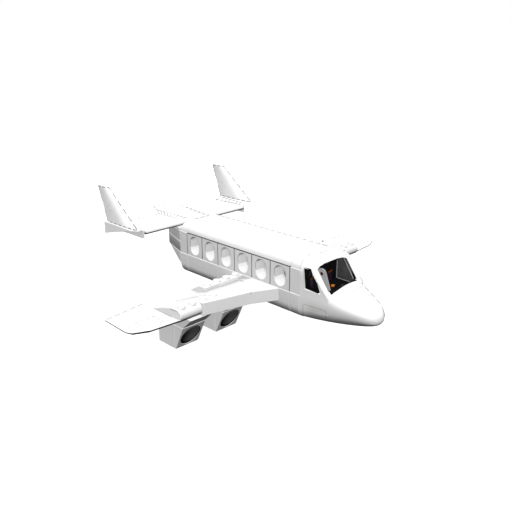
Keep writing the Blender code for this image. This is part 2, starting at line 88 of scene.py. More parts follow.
def make_camera():
    back = camera_axes()[2]
    data = bpy.data.cameras.new("photo_camera")
    data.lens = FOCAL_PIXELS / IMAGE_WIDTH * data.sensor_width
    data.clip_start = 0.01
    data.clip_end = 100.0
    camera = bpy.data.objects.new("photo_camera", data)
    camera.location = CAMERA_TARGET + back * CAMERA_DISTANCE
    camera.rotation_mode = "QUATERNION"
    camera.rotation_quaternion = (-back).to_track_quat("-Z", "Y")
    bpy.context.scene.collection.objects.link(camera)
    bpy.context.scene.camera = camera


# Materials


class Graph:
    """A short way to build a material's nodes and wire them up."""

    def __init__(self, name):
        self.material = bpy.data.materials.new(name)
        self.material.use_nodes = True
        self.tree = self.material.node_tree
        self.shader = self.tree.nodes["Principled BSDF"]

    def node(self, kind, inputs=None, **settings):
        made = self.tree.nodes.new(kind)
        for key, value in settings.items():
            setattr(made, key, value)
        for key, value in (inputs or {}).items():
            if isinstance(value, bpy.types.NodeSocket):
                self.tree.links.new(value, made.inputs[key])
            else:
                made.inputs[key].default_value = value
        return made

    def place(self):
        return self.node("ShaderNodeTexCoord").outputs["Object"]

    def noise(self, scale, detail=2.0, roughness=0.5):
        inputs = {"Vector": self.place(), "Scale": scale, "Detail": detail, "Roughness": roughness}
        return self.node("ShaderNodeTexNoise", inputs).outputs["Fac"]

    def spread(self, value, low, high, start=0.3, end=0.7):
        """Maps a noise onto the span from low to high."""
        inputs = {"Value": value, "From Min": start, "From Max": end, "To Min": low, "To Max": high}
        return self.node("ShaderNodeMapRange", inputs).outputs["Result"]

    def maths(self, operation, *values):
        return self.node("ShaderNodeMath", dict(enumerate(values)), operation=operation).outputs[0]

    def grid_axes(self):
        """The three coordinates of the toy's grid, in millimetres."""
        split = self.node("ShaderNodeSeparateXYZ", {"Vector": self.place()})
        pairs = zip(split.outputs, GRID_ORIGIN)
        return [self.maths("MULTIPLY_ADD", axis, 1.0 / MM, -start / MM) for axis, start in pairs]

    def within(self, value, low, high):
        """1 where the value lies between two limits, else 0."""
        return self.maths("COMPARE", value, (low + high) / 2, (high - low) / 2)

    def both(self, *factors):
        product = factors[0]
        for factor in factors[1:]:
            product = self.maths("MULTIPLY", product, factor)
        return product

    def edge_wear_and_highlight(self, reach):
        """1 on rounded edges, broken up by a noise, and 0 on flat faces: the mask of worn edges and of their
        painted highlight.
        """
        rounded = self.node("ShaderNodeBevel", {"Radius": reach}, samples=4).outputs["Normal"]
        flat = self.node("ShaderNodeNewGeometry").outputs["Normal"]
        inputs = {0: rounded, 1: flat}
        facing = self.node("ShaderNodeVectorMath", inputs, operation="DOT_PRODUCT").outputs["Value"]
        edge = self.spread(facing, 1.0, 0.0, start=0.90, end=0.995)
        return self.maths("MULTIPLY", edge, self.spread(self.noise(500.0, 3.0), 0.2, 1.0))

    def facing(self, kind="Normal"):
        """The three parts of the surface's normal."""
        normal = self.node("ShaderNodeNewGeometry").outputs[kind]
        return self.node("ShaderNodeSeparateXYZ", {"Vector": normal}).outputs

    def lean(self, *pushes):
        """The surface's normal, turned toward each direction by its amount."""
        normal = self.node("ShaderNodeNewGeometry").outputs["Normal"]
        for toward, amount in pushes:
            push = self.node("ShaderNodeVectorMath", {0: toward, "Scale": amount}, operation="SCALE")
            inputs = {0: normal, 1: push.outputs[0]}
            normal = self.node("ShaderNodeVectorMath", inputs, operation="ADD").outputs[0]
        return self.node("ShaderNodeVectorMath", {0: normal}, operation="NORMALIZE").outputs[0]

    def ramp(self, value, start, end, low=0.0, high=1.0):
        """A soft step from low to high between two values."""
        inputs = {"Value": value, "From Min": start, "From Max": end, "To Min": low, "To Max": high}
        return self.node("ShaderNodeMapRange", inputs, interpolation_type="SMOOTHSTEP").outputs["Result"]

    def mix(self, factor, first, second):
        """Two colours mixed by a factor. Each is a colour or a socket."""
        made = self.node("ShaderNodeMix", data_type="RGBA")
        for socket, value in ((made.inputs[0], factor), (made.inputs[6], first), (made.inputs[7], second)):
            if isinstance(value, bpy.types.NodeSocket):
                self.tree.links.new(value, socket)
            else:
                socket.default_value = value if socket == made.inputs[0] else (*value, 1.0)
        return made.outputs[2]

    def colour(self, value):
        self.tree.links.new(value, self.shader.inputs["Base Color"])

    def roughness(self, value):
        self.tree.links.new(value, self.shader.inputs["Roughness"])

    def bump(self, height, depth, normal=None):
        inputs = {"Height": height, "Strength": 1.0, "Distance": depth}
        if normal is not None:
            inputs["Normal"] = normal
        bump = self.node("ShaderNodeBump", inputs)
        self.tree.links.new(bump.outputs["Normal"], self.shader.inputs["Normal"])


def add_grain(graph, smooth, worn, grain, normal=None, wear_and_highlight=None):
    """Uneven gloss, rougher where it is worn, a slight flow of the surface and a mould grain."""
    gloss = graph.spread(graph.noise(420.0, 4.0, 0.65), smooth, worn)
    if wear_and_highlight is not None:
        gloss = graph.maths("MULTIPLY_ADD", wear_and_highlight, 0.18, gloss)
    graph.roughness(gloss)
    flow = graph.maths("MULTIPLY", graph.noise(220.0, 1.0), 3.0)
    graph.bump(graph.maths("ADD", flow, graph.noise(2600.0, 2.0)), grain, normal)
    graph.shader.inputs["IOR"].default_value = 1.53


def moulded_plastic(name, dark, light, smooth=0.28, worn=0.42, shine=0.3, leaning=None):
    """Injection-moulded plastic with a faint drift of tone."""
    graph = Graph(name)
    graph.colour(graph.mix(graph.spread(graph.noise(60.0, 3.0), 0.0, 1.0), dark, light))
    graph.shader.inputs["Specular IOR Level"].default_value = shine
    normal = leaning(graph, *graph.grid_axes()) if leaning else None
    add_grain(graph, smooth, worn, 0.004 * MM, normal)
    return graph.material


def inside_factor(graph, x, y, z):
    """1 on the faces inside the cabin and the cockpit, which are black."""
    aside = graph.maths("ABSOLUTE", y)
    cabin = graph.both(
        graph.within(x, *CABIN_X), graph.within(aside, -1.0, CABIN_HALF), graph.within(z, *CABIN_Z)
    )
    haunch = graph.maths("MAXIMUM", graph.maths("SUBTRACT", aside, 6.0), 0.0)
    ceiling = graph.maths("MULTIPLY_ADD", graph.maths("POWER", haunch, 2.0), -0.02, COCKPIT_CEILING)
    lean = graph.maths("MULTIPLY_ADD", z, SCREEN_LEAN, x)
    above_sill = graph.maths("GREATER_THAN", z, COCKPIT_SILL)
    behind_cowl = graph.maths("LESS_THAN", x, COWL_REAR)
    cockpit = graph.both(
        graph.within(aside, -1.0, COCKPIT_HALF),
        graph.maths("LESS_THAN", z, ceiling),
        graph.maths("GREATER_THAN", z, -0.1),
        graph.maths("LESS_THAN", lean, SCREEN_REACH),
        graph.maths("GREATER_THAN", x, CABIN_X[1] - 1.0),
        graph.maths("MAXIMUM", above_sill, behind_cowl),
    )
    return graph.maths("MAXIMUM", cabin, cockpit)


def pane_jambs(graph, x, y, z):
    """1 on the inside of the side windows' frames, behind their panes."""
    lean = graph.maths("MULTIPLY_ADD", z, SCREEN_LEAN, x)
    return graph.both(
        graph.within(graph.maths("ABSOLUTE", y), COCKPIT_HALF - 0.1, PANE_OUTER),
        graph.within(x, COCKPIT_SIDE[0], COCKPIT_SIDE[1]),
        graph.within(z, COCKPIT_SIDE[2], COCKPIT_SIDE[3]),
        graph.maths("LESS_THAN", lean, SCREEN_REACH - 0.6),
    )


def painted_seam_shade(graph, x, z):
    """1 along the seams between the window panels and under the roof, where the gaps' shade is painted dark, 0
    elsewhere.
    """
    across = graph.maths("PINGPONG", x, WINDOW_PITCH / 2)
    upright = graph.maths("LESS_THAN", across, SEAM_HALF)
    under_roof = graph.within(z, BAND_TOP - SEAM_HALF, BAND_TOP + SEAM_HALF)
    along = graph.within(x, -SEAM_HALF, BAND_LENGTH + SEAM_HALF)
    upright = graph.both(upright, graph.within(z, 0.0, BAND_TOP))
    return graph.both(graph.maths("MAXIMUM", upright, under_roof), along)


def painted_rim_shade(graph, x, y, z):
    """1 along the upper rim of each window, on the outer face of its panel, where a dark line of painted shade
    covers the rim's edge.
    """
    aside = graph.maths("SUBTRACT", WINDOW_PITCH / 2, graph.maths("PINGPONG", x, WINDOW_PITCH / 2))
    above = graph.maths("MAXIMUM", graph.maths("SUBTRACT", z, ARCH_CENTRE), 0.0)
    squares = graph.maths("ADD", graph.both(aside, aside), graph.both(above, above))
    away = graph.maths("SUBTRACT", graph.maths("SQRT", squares), ARCH_RADIUS)
    outer = graph.maths("GREATER_THAN", graph.maths("ABSOLUTE", y), 19.55)
    span = graph.both(graph.within(x, 0.0, BAND_LENGTH), graph.within(z, 7.0, BAND_TOP - 0.5))
    return graph.both(graph.within(away, -0.1, 0.32), outer, span)


def screen_foot(graph, x, y, z):
    """1 on the dark strip of the cowl that continues the windscreen's opening in a bow."""
    bow = graph.maths("MULTIPLY_ADD", graph.both(y, y), 0.0045, graph.maths("MULTIPLY_ADD", y, -0.05, 121.2))
    reach = graph.maths("GREATER_THAN", graph.maths("SUBTRACT", bow, x), 0.0)
    middle = graph.maths("LESS_THAN", graph.maths("ABSOLUTE", y), 13.2)
    return graph.both(reach, middle, graph.within(z, 2.5, COCKPIT_SILL), graph.maths("GREATER_THAN", x, 119.0))


def painted_light_mask(graph, x, y, z):
    """1 on faces turned up and in the windows' openings, where a brighter tone of painted light stands in for
    the light that falls there.
    """
    up = graph.ramp(graph.facing()[2], 0.45, 0.85)
    opening = graph.both(
        graph.within(graph.maths("ABSOLUTE", y), CABIN_HALF, 19.7),
        graph.within(x, 0.0, BAND_LENGTH),
        graph.within(z, 1.0, BAND_TOP - 1.0),
    )
    return graph.maths("MAXIMUM", up, opening)


def painted_seam_highlights(graph, x, z):
    """1 along the lower hull's upright seams and between the parts of a pod's side, where a painted highlight
    stands in for light caught by the seams' edges.
    """
    below = graph.maths("LESS_THAN", z, -0.2)
    found = None
    for seam in HIGHLIT_SEAM_PLACES:
        line = graph.within(x, seam - SEAM_HALF, seam + SEAM_HALF)
        found = line if found is None else graph.maths("MAXIMUM", found, line)
    return graph.both(found, below)


def white_plastic(name, dark, light, leaning=None):
    """White moulded plastic, worn matt on its edges, with painted highlights on its edges, tops, window
    openings and hull seams, painted shade in its panel seams and window rims, and black inside the cabin and
    the cockpit.
    """
    graph = Graph(name)
    x, y, z = graph.grid_axes()
    wear_and_highlight = graph.edge_wear_and_highlight(0.35 * MM)
    shade = graph.mix(graph.spread(graph.noise(60.0, 3.0), 0.0, 1.0), dark, light)
    # Painted highlight: the rounded edges are lightened as if they caught the light; the same mask makes them
    # rougher as wear.
    shade = graph.mix(graph.maths("MULTIPLY", wear_and_highlight, 0.5), shade, (0.96, 0.96, 0.955))
    # Painted light: faces turned up and the windows' openings get a brighter tone.
    shade = graph.mix(painted_light_mask(graph, x, y, z), shade, PAINTED_LIGHT_TONE)
    # Painted highlight: on flanks, the lower hull's and the pods' seams take the brighter tone.
    flank = graph.maths("GREATER_THAN", graph.maths("ABSOLUTE", graph.facing("True Normal")[1]), 0.5)
    shade = graph.mix(graph.both(painted_seam_highlights(graph, x, z), flank), shade, PAINTED_LIGHT_TONE)
    # Painted shade: the seams between the window panels and under the roof are coloured dark.
    seams = graph.both(painted_seam_shade(graph, x, z), graph.maths("GREATER_THAN", graph.maths("ABSOLUTE", y), 17.0))
    seams = graph.both(seams, graph.maths("LESS_THAN", graph.maths("ABSOLUTE", y), 20.6))
    shade = graph.mix(seams, shade, SEAM_SHADE_COLOUR)
    # Painted shade: a dark line along each window's upper rim.
    shade = graph.mix(graph.both(painted_rim_shade(graph, x, y, z), 0.55), shade, RIM_SHADE_COLOUR)
    shade = graph.mix(screen_foot(graph, x, y, z), shade, INSIDE_COLOUR)
    jamb_colour = graph.mix(graph.maths("GREATER_THAN", y, 0.0), INSIDE_COLOUR, JAMB_COLOUR)
    shade = graph.mix(pane_jambs(graph, x, y, z), shade, jamb_colour)
    inside = inside_factor(graph, x, y, z)
    graph.colour(graph.mix(inside, shade, INSIDE_COLOUR))
    shine = graph.maths("MULTIPLY_ADD", inside, -0.08, 0.09)
    graph.tree.links.new(shine, graph.shader.inputs["Specular IOR Level"])
    normal = leaning(graph, x, y, z) if leaning else None
    add_grain(graph, 0.32, 0.48, 0.004 * MM, normal, wear_and_highlight)
    return graph.material


def fin_leaning(graph, x, y, z):
    """A fin's faces curve forward over the front two thirds of its chord."""
    height = graph.maths("MULTIPLY_ADD", z, 1.0 / FIN_HEIGHT, -FIN_FOOT / FIN_HEIGHT)
    rear = graph.maths("MULTIPLY_ADD", height, -8.8, -45.2)
    chord = graph.maths("MULTIPLY_ADD", height, -22.8, 35.9)
    share = graph.maths("DIVIDE", graph.maths("SUBTRACT", x, rear), chord)
    return graph.lean(((0.595, 0.0, 0.803), graph.ramp(share, 0.42, 1.0, 0.04, 0.95)))


def plane_leaning(graph, x, y, z):
    """The stabiliser's top curves down to its leading edge, and its lower half faces down."""
    front = graph.ramp(x, -14.2, -10.8, 0.0, 1.2)
    under = graph.both(graph.ramp(z, 19.5, 19.1, 0.0, 4.0), graph.maths("GREATER_THAN", x, -12.6))
    return graph.lean(((1.0, 0.0, -0.1), front), ((0.0, 0.0, -1.0), under))


def window_leaning(graph, x, y, z):
    """In the windows, an even jamb below a dark arch and above a bright sill."""
    up = graph.facing("True Normal")[2]
    depth = graph.within(graph.maths("ABSOLUTE", y), CABIN_HALF, 19.7)
    sill = graph.both(depth, graph.maths("GREATER_THAN", up, 0.04), 4.0)
    upright = graph.both(depth, graph.within(up, -0.72, 0.04))
    level = graph.both(upright, graph.maths("MULTIPLY_ADD", graph.facing()[2], -1.0, 0.04))
    arch = graph.both(depth, graph.maths("LESS_THAN", up, -0.72), 1.5)
    return graph.lean(((0.3, 0.0, 0.95), sill), ((0.0, 0.0, 1.0), level), ((0.0, 0.0, -1.0), arch))


def roof_leaning(graph, x, y, z):
    """The roof's shoulder meets the cabin's wall without a step in its shading."""
    fall = graph.maths("EXPONENT", graph.maths("MULTIPLY_ADD", z, -0.6, 0.6 * BAND_TOP))
    aside = graph.maths("MULTIPLY", graph.maths("SIGN", y), graph.maths("MULTIPLY", fall, 2.5))
    return graph.lean(((0.0, 1.0, 0.0), aside))


def wing_leaning(graph, x, y, z):
    """Soft transitions on the wing: its outboard end, its nose's underside and the studs' sides."""
    aside = graph.maths("ABSOLUTE", y)
    upright = graph.within(graph.facing()[2], -0.5, 0.5)
    end = graph.both(graph.maths("GREATER_THAN", aside, 83.4), upright, 2.2)
    nose = graph.both(graph.maths("GREATER_THAN", x, 68.5), graph.maths("GREATER_THAN", aside, 68.05))
    under = graph.both(graph.ramp(z, -5.4, -6.2, 0.0, 4.0), nose)
    studs = graph.both(graph.maths("GREATER_THAN", z, 0.05), upright, 0.5)
    return graph.lean(((0.0, 0.0, 1.0), graph.maths("ADD", end, studs)), ((0.0, 0.0, -1.0), under))


def root_leaning(graph, x, y, z):
    """The root block's front runs softly into the wing over most of its length."""
    forward, _, up = graph.facing()
    aside = graph.maths("ABSOLUTE", y)
    front = graph.both(graph.maths("GREATER_THAN", forward, 0.6), graph.within(aside, 24.0, 40.5), 1.6)
    upright = graph.within(up, -0.5, 0.5)
    studs = graph.both(graph.maths("GREATER_THAN", z, 0.05), upright, 0.5)
    return graph.lean(((0.0, 0.0, 1.0), graph.maths("ADD", front, studs)))


def nose_leaning(graph, x, y, z):
    """The nose's flanks turn under early."""
    under = graph.both(graph.ramp(z, 1.0, -9.0, 0.0, 0.18), graph.ramp(x, 106.0, 114.0))
    return graph.lean(((0.0, 0.0, -1.0), under))


def tail_leaning(graph, x, y, z):
    """The tail's flanks turn under toward their foot."""
    return graph.lean(((0.0, 0.0, -1.0), graph.ramp(z, 10.0, 1.0, 0.05, 0.32)))


def tip_leaning(graph, x, y, z):
    """The thin rim of a wing tip, below its top's edge, faces down."""
    return graph.lean(((0.0, 0.0, -1.0), graph.ramp(z, TIP_LEVEL - 0.05, TIP_LEVEL - 0.2, 0.0, 3.0)))


def arm_leaning(graph, x, y, z):
    """The arm's broad face turns softly forward."""
    _, aside, _ = graph.facing()
    flank = graph.maths("GREATER_THAN", graph.maths("ABSOLUTE", aside), 0.7)
    return graph.lean(((0.8, 0.0, 0.6), flank))


def smoked_plastic(name, alpha, dark=(0.003, 0.003, 0.004), light=(0.014, 0.014, 0.015)):
    """Dark see-through plastic for the side panes."""
    graph = Graph(name)
    tone = graph.spread(graph.noise(150.0, 2.0), 0.0, 1.0)
    graph.colour(graph.mix(tone, dark, light))
    add_grain(graph, 0.06, 0.14, 0.001 * MM)
    graph.shader.inputs["Specular IOR Level"].default_value = 0.06
    graph.shader.inputs["Alpha"].default_value = alpha
    return graph.material


def disc_plastic(name):
    """Dark grey plastic of an intake's disc, with painted shade darkening it toward its outboard side."""
    graph = Graph(name)
    across = graph.node("ShaderNodeSeparateXYZ", {"Vector": graph.place()}).outputs["X"]
    # Painted shade: the disc darkens toward its outboard side, broken up by a noise.
    painted_shade_ramp = graph.maths("ADD", across, graph.spread(graph.noise(300.0, 3.0), -0.4 * MM, 0.4 * MM))
    factor = graph.spread(painted_shade_ramp, 0.0, 1.0, start=-1.0 * MM, end=5.5 * MM)
    graph.colour(graph.mix(factor, (0.18, 0.18, 0.18), (0.015, 0.015, 0.016)))
    graph.shader.inputs["Specular IOR Level"].default_value = 0.08
    add_grain(graph, 0.5, 0.65, 0.004 * MM)
    return graph.material


TIP_LEVEL = -5.33

# Limits of the shader's parts, in the grid's millimetres
CABIN_X, CABIN_HALF, CABIN_Z = (-0.3, 104.4), 12.08, (-8.2, 16.2)
COCKPIT_HALF, COCKPIT_CEILING, COCKPIT_SILL, COWL_REAR = 14.06, 18.56, 5.65, 119.9
SCREEN_LEAN, SCREEN_REACH = 0.744, 124.6
COCKPIT_SIDE = (105.0, 116.4, 3.4, 18.0)
PANE_OUTER = -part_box("side_pane_starboard")[0].y / MM
WINDOW_PITCH, BAND_LENGTH, BAND_TOP, SEAM_HALF = 16.0, 96.0, 16.0, 0.25
FIN_FOOT, FIN_HEIGHT = 22.35, 24.6
# Places along X where seams of the lower hull and the pods get a painted highlight
HIGHLIT_SEAM_PLACES = (0.0, 32.0, 56.0, 96.0, 104.0)
ARCH_CENTRE, ARCH_RADIUS = 10.0, 4.5
# Colour of the painted shade in the seams
SEAM_SHADE_COLOUR = (0.05, 0.05, 0.05)
# Colour of the painted shade along the window rims
RIM_SHADE_COLOUR = (0.12, 0.12, 0.12)
JAMB_COLOUR = (0.075, 0.075, 0.08)
# The brighter tone of painted light, on tops, in the windows' openings and on the hull's seams
PAINTED_LIGHT_TONE = (0.985, 0.985, 0.98)
INSIDE_COLOUR = (0.003, 0.003, 0.003)

WHITE = white_plastic("white_plastic_finish", (0.87, 0.87, 0.865), (0.925, 0.925, 0.925))
SHADED = white_plastic("shaded_white_finish", (0.815, 0.815, 0.81), (0.865, 0.865, 0.865))
FIN = white_plastic("fin_finish", (0.925, 0.925, 0.92), (0.97, 0.97, 0.97), fin_leaning)
PLANE = white_plastic("stabiliser_finish", (0.87, 0.87, 0.865), (0.925, 0.925, 0.925), plane_leaning)
PANEL = white_plastic("window_panel_finish", (0.825, 0.825, 0.82), (0.865, 0.865, 0.865), window_leaning)
ROOF = white_plastic("roof_finish", (0.87, 0.87, 0.865), (0.925, 0.925, 0.925), roof_leaning)
WING = white_plastic("wing_finish", (0.87, 0.87, 0.865), (0.925, 0.925, 0.925), wing_leaning)
NOSE = white_plastic("nose_finish", (0.83, 0.83, 0.825), (0.86, 0.86, 0.86), nose_leaning)
TAIL = white_plastic("tail_finish", (0.83, 0.83, 0.825), (0.87, 0.87, 0.87), tail_leaning)
TIP = white_plastic("wing_tip_finish", (0.87, 0.87, 0.865), (0.925, 0.925, 0.925), tip_leaning)
PALE_WHITE = white_plastic("bright_white_finish", (0.925, 0.925, 0.92), (0.97, 0.97, 0.97))
ROOT = white_plastic("root_block_finish", (0.87, 0.87, 0.865), (0.925, 0.925, 0.925), root_leaning)
# Grey plastic for the console's trim; on the cockpit's arm, which is white plastic, this grey is painted
# shade.
GREY_AND_SHADE = moulded_plastic(
    "grey_and_painted_shade_finish", (0.32, 0.32, 0.325), (0.37, 0.37, 0.375), shine=0.06, leaning=arm_leaning
)
BLACK = moulded_plastic("black_plastic_finish", (0.003, 0.003, 0.004), (0.008, 0.008, 0.009), 0.5, 0.7, 0.02)
SMOKE = smoked_plastic("smoke_glass_finish", 0.55)
DEEP_SMOKE = smoked_plastic("deep_smoke_glass_finish", 0.92, (0.05, 0.05, 0.052), (0.09, 0.09, 0.092))
DISC = disc_plastic("intake_disc_finish")
LINING = moulded_plastic("window_lining_finish", (0.93, 0.93, 0.925), (0.97, 0.97, 0.97), shine=0.09)
LINE = moulded_plastic("panel_line_finish", (0.30, 0.22, 0.18), (0.40, 0.31, 0.26))
TICK = moulded_plastic("rib_line_finish", (0.10, 0.10, 0.10), (0.16, 0.16, 0.16))
# Painted highlight of the side panes' edges
PALE = moulded_plastic("pane_edge_highlight_finish", (0.52, 0.46, 0.45), (0.66, 0.60, 0.59))
ORANGE = moulded_plastic("orange_print_finish", (0.75, 0.12, 0.01), (0.85, 0.25, 0.02))
PURPLE = moulded_plastic("purple_print_finish", (0.42, 0.20, 0.60), (0.52, 0.28, 0.72))
OUTLINE = moulded_plastic("edge_line_finish", (0.06, 0.06, 0.06), (0.12, 0.12, 0.12))
# Painted shade: darker copies of the print colours, for the port seat's print.
SHADED_ORANGE = moulded_plastic("shaded_orange_print_finish", (0.16, 0.03, 0.002), (0.22, 0.05, 0.004))
SHADED_PURPLE = moulded_plastic("shaded_purple_print_finish", (0.035, 0.012, 0.045), (0.05, 0.02, 0.06))
YELLOW = moulded_plastic("yellow_print_finish", (0.35, 0.30, 0.01), (0.50, 0.44, 0.02))
GREEN = moulded_plastic("green_button_finish", (0.05, 0.12, 0.01), (0.08, 0.18, 0.02))
WINE = moulded_plastic("arm_hole_finish", (0.05, 0.004, 0.008), (0.08, 0.006, 0.012))

# The finish of each CAD node, by the start of its name. The first that fits is used.
FINISHES = (
    # The arm is white plastic; its grey is painted shade.
    ("cockpit_arm", GREY_AND_SHADE),
    ("cockpit_console", BLACK),
    ("side_pane_port", DEEP_SMOKE),
    ("side_pane", SMOKE),
    ("window_panel", PANEL),
    ("fin_base", PALE_WHITE),
    ("fin", FIN),
    ("stabiliser", PLANE),
    ("roof", ROOF),
    ("wing_main", WING),
    ("wing_edge", WING),
    ("wing_root", ROOT),
    ("wing_tip", TIP),
    ("nose", NOSE),
    ("tail_upper", TAIL),
    ("tail_lower", TAIL),
    ("hull_lower", SHADED),
    ("column", SHADED),
    ("pod", SHADED),
    ("", WHITE),
)


def dress_nodes():
    for name, node in NODES.items():
        finish = next(material for start, material in FINISHES if name.startswith(start))
        for slot in node.material_slots:
            slot.material = finish


# Rounded edges


def smoothing_nodes(name, angle):
    """A node group that shades a mesh smooth, but for the edges sharper than the angle."""
    group = bpy.data.node_groups.new(name, "GeometryNodeTree")
    group.interface.new_socket("Geometry", in_out="INPUT", socket_type="NodeSocketGeometry")
    group.interface.new_socket("Geometry", in_out="OUTPUT", socket_type="NodeSocketGeometry")
    start = group.nodes.new("NodeGroupInput")
    end = group.nodes.new("NodeGroupOutput")
    faces = group.nodes.new("GeometryNodeSetShadeSmooth")
    faces.domain = "FACE"
    edges = group.nodes.new("GeometryNodeSetShadeSmooth")
    edges.domain = "EDGE"
    edges.inputs["Shade Smooth"].default_value = False
    fold = group.nodes.new("GeometryNodeInputMeshEdgeAngle")
    sharp = group.nodes.new("FunctionNodeCompare")
    sharp.operation = "GREATER_THAN"
    sharp.inputs["B"].default_value = math.radians(angle)
    plain = group.nodes.new("GeometryNodeRemoveAttribute")
    plain.inputs["Name"].default_value = "custom_normal"
    link = group.links.new
    link(start.outputs[0], plain.inputs["Geometry"])
    link(plain.outputs["Geometry"], faces.inputs["Geometry"])
    link(faces.outputs["Geometry"], edges.inputs["Geometry"])
    link(fold.outputs["Unsigned Angle"], sharp.inputs["A"])
    link(sharp.outputs["Result"], edges.inputs["Selection"])
    link(edges.outputs["Geometry"], end.inputs[0])
    return group


SMOOTHING = smoothing_nodes("smooth_by_angle", 24)


def soften(obj, width):
    """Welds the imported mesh, rounds its sharp edges and shades its curves smooth."""
    weld = obj.modifiers.new("weld", "WELD")
    weld.merge_threshold = 0.001 * MM
    flat = obj.modifiers.new("flat_faces", "DECIMATE")
    flat.decimate_type = "DISSOLVE"
    flat.angle_limit = math.radians(0.4)
    smooth = obj.modifiers.new("smooth", "NODES")
    smooth.node_group = SMOOTHING
    bevel = obj.modifiers.new("rounded_edges", "BEVEL")
    bevel.width = width
    bevel.segments = 2
    bevel.limit_method = "ANGLE"
    bevel.angle_limit = math.radians(28)
    bevel.use_clamp_overlap = True
    bevel.harden_normals = True


def soften_nodes():
    for name, node in NODES.items():
        soften(node, 0.2 * MM)


# Small details: bars, dots and discs on the surface


def add_piece(name, bm, finish, matrix=None):
    """Makes a piece that rides the toy's one body."""
    mesh = bpy.data.meshes.new(name)
    bmesh.ops.recalc_face_normals(bm, faces=bm.faces)
    bm.to_mesh(mesh)
    bm.free()
    piece = bpy.data.objects.new(name, mesh)
    bpy.context.scene.collection.objects.link(piece)
    mesh.materials.append(finish)
    if matrix is not None:
        piece.matrix_world = matrix
    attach(piece, BODY)
    return piece


def frame_matrix(origin, along, up):
    """A matrix whose X runs along one direction and whose Z is as near as can be to another."""
    x_axis = along.normalized()
    y_axis = up.cross(x_axis).normalized()
    z_axis = x_axis.cross(y_axis)
    turned = Matrix((x_axis, y_axis, z_axis)).transposed()
    return Matrix.Translation(origin) @ turned.to_4x4()


def add_bar(bm, start, end, up, width, height):
    """A flat bar between two points. It stands half in the surface and half out of it."""
    along = end - start
    size = (along.length + 0.3 * width, width, height)
    matrix = frame_matrix((start + end) / 2, along, up) @ Matrix.Diagonal((*size, 1.0))
    bmesh.ops.create_cube(bm, size=1.0, matrix=matrix)


def add_dot(bm, centre, up, radius, height, steps=14):
    side = up.orthogonal()
    matrix = frame_matrix(centre, side, up)
    bmesh.ops.create_cone(
        bm, cap_ends=True, segments=steps, radius1=radius, radius2=radius, depth=height, matrix=matrix
    )


def cad_tree():
    """A search tree of all CAD nodes, as packed."""
    whole = bmesh.new()
    for node in NODES.values():
        mesh = node.data.copy()
        mesh.transform(node.matrix_world)
        whole.from_mesh(mesh)
        bpy.data.meshes.remove(mesh)
    tree = BVHTree.FromBMesh(whole)
    whole.free()
    return tree


TREE = cad_tree()


def seen_point(pixel):
    """The point and normal of the CAD surface that a pixel of the photograph shows."""
    right, up, back = camera_axes()
    centre = IMAGE_WIDTH / 2
    sight = (pixel[0] - centre) * right - (pixel[1] - centre) * up - FOCAL_PIXELS * back
    place, normal, _, _ = TREE.ray_cast(CAMERA_TARGET + back * CAMERA_DISTANCE, sight.normalized())
    return place, normal


def node_mesh(node):
    """A node's welded mesh, in the frame's coordinates."""
    whole = bmesh.new()
    whole.from_mesh(node.data)
    whole.transform(node.matrix_world)
    bmesh.ops.remove_doubles(whole, verts=whole.verts, dist=0.001 * MM)
    whole.normal_update()
    return whole


def add_dashes(bm, start, end, up):
    """A dashed line between two points. The dashes keep step along the frame's X or Y axis."""
    reach = end - start
    axis = 0 if abs(reach.x) > abs(reach.y) else 1
    if abs(reach[axis]) < 0.1 * MM:
        add_bar(bm, start, end, up, RIM_WIDTH, RIM_HEIGHT)
        return
    low, high = sorted((start[axis], end[axis]))
    for step in range(math.floor(low / DASH_PITCH), math.ceil(high / DASH_PITCH)):
        first, last = max(low, step * DASH_PITCH), min(high, step * DASH_PITCH + DASH_LENGTH)
        if last - first > 0.2 * MM:
            spots = [start + reach * ((place - start[axis]) / reach[axis]) for place in (first, last)]
            add_bar(bm, *spots, up, RIM_WIDTH, RIM_HEIGHT)


def add_rims(bm, node, toward, least, fold, rear_only=False):
    """Lines along a node's sharp edges, on the side that is turned toward a direction."""
    whole = node_mesh(node)
    for edge in whole.edges:
        if len(edge.link_faces) != 2 or edge.calc_face_angle(0.0) < math.radians(fold):
            continue
        other, face = sorted(edge.link_faces, key=lambda side: side.normal.dot(toward))
        if face.normal.dot(toward) < least or (rear_only and other.normal.x > -0.3):
            continue
        start, end = (vert.co for vert in edge.verts)
        along = (end - start).normalized()
        inward = face.calc_center_median() - start
        inward -= inward.dot(along) * along
        shift = inward.normalized() * RIM_WIDTH / 2 - face.normal * RIM_SINK
        add_dashes(bm, start + shift, end + shift, face.normal)
    whole.free()


def add_far_edges(bm, node):
    """Lines along the far side of a node, where its top passes out of the camera's sight."""
    eye = CAMERA_TARGET + camera_axes()[2] * CAMERA_DISTANCE
    whole = node_mesh(node)
    for edge in whole.edges:
        start, end = (vert.co for vert in edge.verts)
        middle = (start + end) / 2
        sides = sorted(edge.link_faces, key=lambda side: side.normal.dot(eye - middle))
        if len(sides) != 2:
            continue
        away, seen = sides
        if away.normal.dot(eye - middle) > 0 or seen.normal.dot(eye - middle) < 0:
            continue
        if away.normal.y < 0.2 or seen.normal.z < 0.2 or COWL_REAR > to_grid(middle).x > BAND_LENGTH:
            continue
        place = TREE.ray_cast(eye, (middle - eye).normalized())[0]
        if place is None or (place - eye).length > (middle - eye).length - 0.6 * MM:
            up = (away.normal + seen.normal).normalized()
            add_dashes(bm, start + up * RIM_LIFT, end + up * RIM_LIFT, up)
    whole.free()


